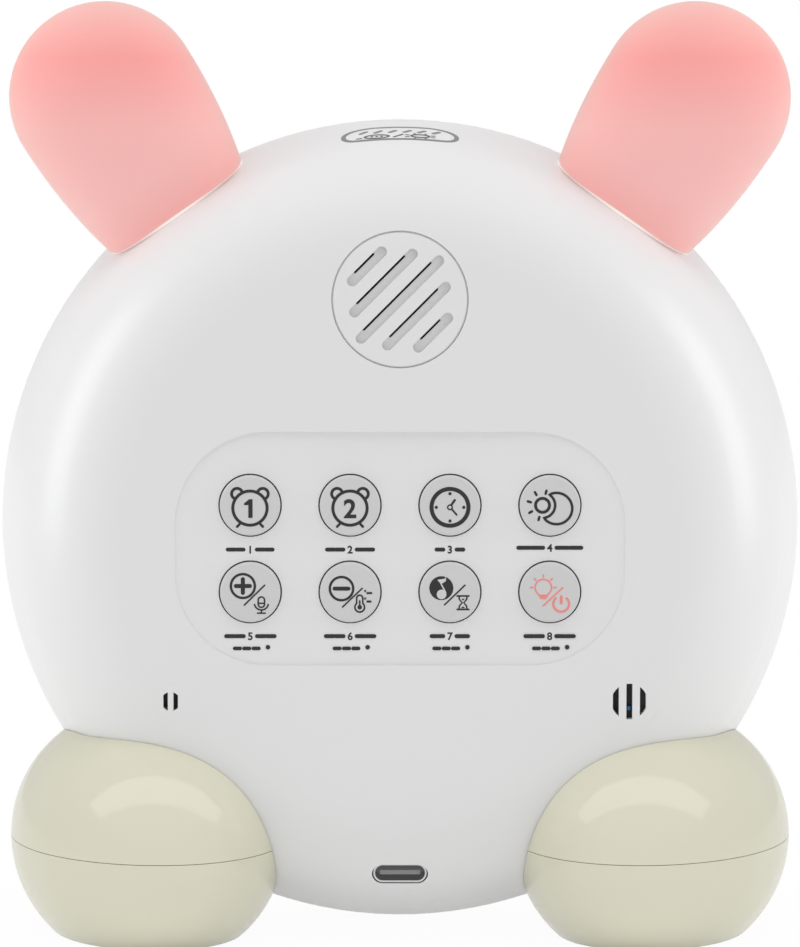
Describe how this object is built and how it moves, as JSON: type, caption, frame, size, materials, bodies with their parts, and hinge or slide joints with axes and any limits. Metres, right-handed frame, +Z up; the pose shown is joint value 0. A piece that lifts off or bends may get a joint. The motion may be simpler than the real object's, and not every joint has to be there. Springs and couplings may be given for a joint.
{
  "type": "alarm clock with night light",
  "caption": "Round desk alarm clock with a night light front, soft ears, two feet and a rear button panel.",
  "frame": {"origin": "centre of the foot pads' resting plane, under the middle of the object", "axes": "+Z up, +X to the object's left seen from its front, +Y to the rear where the buttons are; the lit front faces -Y"},
  "size_m": [0.136, 0.0664, 0.1571],
  "materials": {
    "shell_plastic": "fine matte off-white, moulded",
    "button_plastic": "matte grey, printed icons",
    "ear_silicone": "translucent pink silicone, matte",
    "ear_seat_plastic": "pale pink, matte",
    "foot_plastic": "cream, glossy",
    "pad_rubber": "dark grey rubber",
    "lens_plastic": "milky diffuser, satin",
    "window_plastic": "smoked, glossy",
    "screw_steel": "plain steel",
    "circuit_board": "green solder mask",
    "white_plastic": "white, matte",
    "led_lens": "clear yellow lens",
    "cell_foil": "satin foil pouch",
    "bead_blue": "blue enamel",
    "contact_metal": "bright",
    "lead_insulation": "soft insulation",
    "black_foam": "black foam",
    "black_plastic": "black, matte"
  },
  "bodies": {
    "casing": {"rear_shell": "shell_plastic", "front_shell": "shell_plastic", "front_lens": "lens_plastic", "display_window": "window_plastic", "case_screws": "screw_steel", "button_board": "circuit_board", "switch_housings": "black_plastic", "switch_domes": "contact_metal", "button_board_screws": "screw_steel", "speaker_grille": "shell_plastic", "grille_felt": "black_foam", "speaker_gasket": "black_foam", "speaker_frame": "black_plastic", "speaker_cone": "black_plastic", "speaker_magnet": "screw_steel", "speaker_retainer": "white_plastic", "speaker_screws": "screw_steel", "main_board": "circuit_board", "main_chips": "black_plastic", "main_board_screws": "screw_steel", "usb_shell": "screw_steel", "usb_tongue": "black_plastic", "battery_cell": "cell_foil", "battery_pad": "black_foam", "microphone": "black_plastic", "microphone_boot": "black_foam", "temperature_bead": "bead_blue", "bead_holder": "black_plastic", "touch_electrode": "contact_metal", "light_tray": "white_plastic", "tray_screws": "screw_steel", "light_board": "white_plastic", "night_leds": "led_lens", "display_board": "circuit_board", "digit_mask": "black_plastic", "digit_segments": "led_lens", "ribbon_cable": "lead_insulation", "speaker_leads": "lead_insulation", "ear_cover_left": "ear_silicone", "ear_cover_right": "ear_silicone", "ear_seat_left": "ear_seat_plastic", "ear_seat_right": "ear_seat_plastic", "ear_boards": "circuit_board", "ear_leds": "led_lens", "ear_screws": "screw_steel", "foot_upper_left": "foot_plastic", "foot_upper_right": "foot_plastic", "foot_lower_left": "foot_plastic", "foot_lower_right": "foot_plastic", "foot_pads": "pad_rubber", "foot_screws": "screw_steel"},
    "alarm_one_button": {"alarm_one_button": "button_plastic"},
    "alarm_two_button": {"alarm_two_button": "button_plastic"},
    "time_button": {"time_button": "button_plastic"},
    "sun_moon_button": {"sun_moon_button": "button_plastic"},
    "volume_up_button": {"volume_up_button": "button_plastic"},
    "volume_down_button": {"volume_down_button": "button_plastic"},
    "sound_button": {"sound_button": "button_plastic"},
    "power_button": {"power_button": "button_plastic"}
  },
  "joints": [
    {"name": "alarm_one_press", "type": "slide", "parent": "casing", "child": "alarm_one_button", "axis": [0, -1, 0], "range_m": [0, 0.0006], "stiffness_N_per_m": 1500},
    {"name": "alarm_two_press", "type": "slide", "parent": "casing", "child": "alarm_two_button", "axis": [0, -1, 0], "range_m": [0, 0.0006], "stiffness_N_per_m": 1500},
    {"name": "time_press", "type": "slide", "parent": "casing", "child": "time_button", "axis": [0, -1, 0], "range_m": [0, 0.0006], "stiffness_N_per_m": 1500},
    {"name": "sun_moon_press", "type": "slide", "parent": "casing", "child": "sun_moon_button", "axis": [0, -1, 0], "range_m": [0, 0.0006], "stiffness_N_per_m": 1500},
    {"name": "volume_up_press", "type": "slide", "parent": "casing", "child": "volume_up_button", "axis": [0, -1, 0], "range_m": [0, 0.0006], "stiffness_N_per_m": 1500},
    {"name": "volume_down_press", "type": "slide", "parent": "casing", "child": "volume_down_button", "axis": [0, -1, 0], "range_m": [0, 0.0006], "stiffness_N_per_m": 1500},
    {"name": "sound_press", "type": "slide", "parent": "casing", "child": "sound_button", "axis": [0, -1, 0], "range_m": [0, 0.0006], "stiffness_N_per_m": 1500},
    {"name": "power_press", "type": "slide", "parent": "casing", "child": "power_button", "axis": [0, -1, 0], "range_m": [0, 0.0006], "stiffness_N_per_m": 1500}
  ]
}
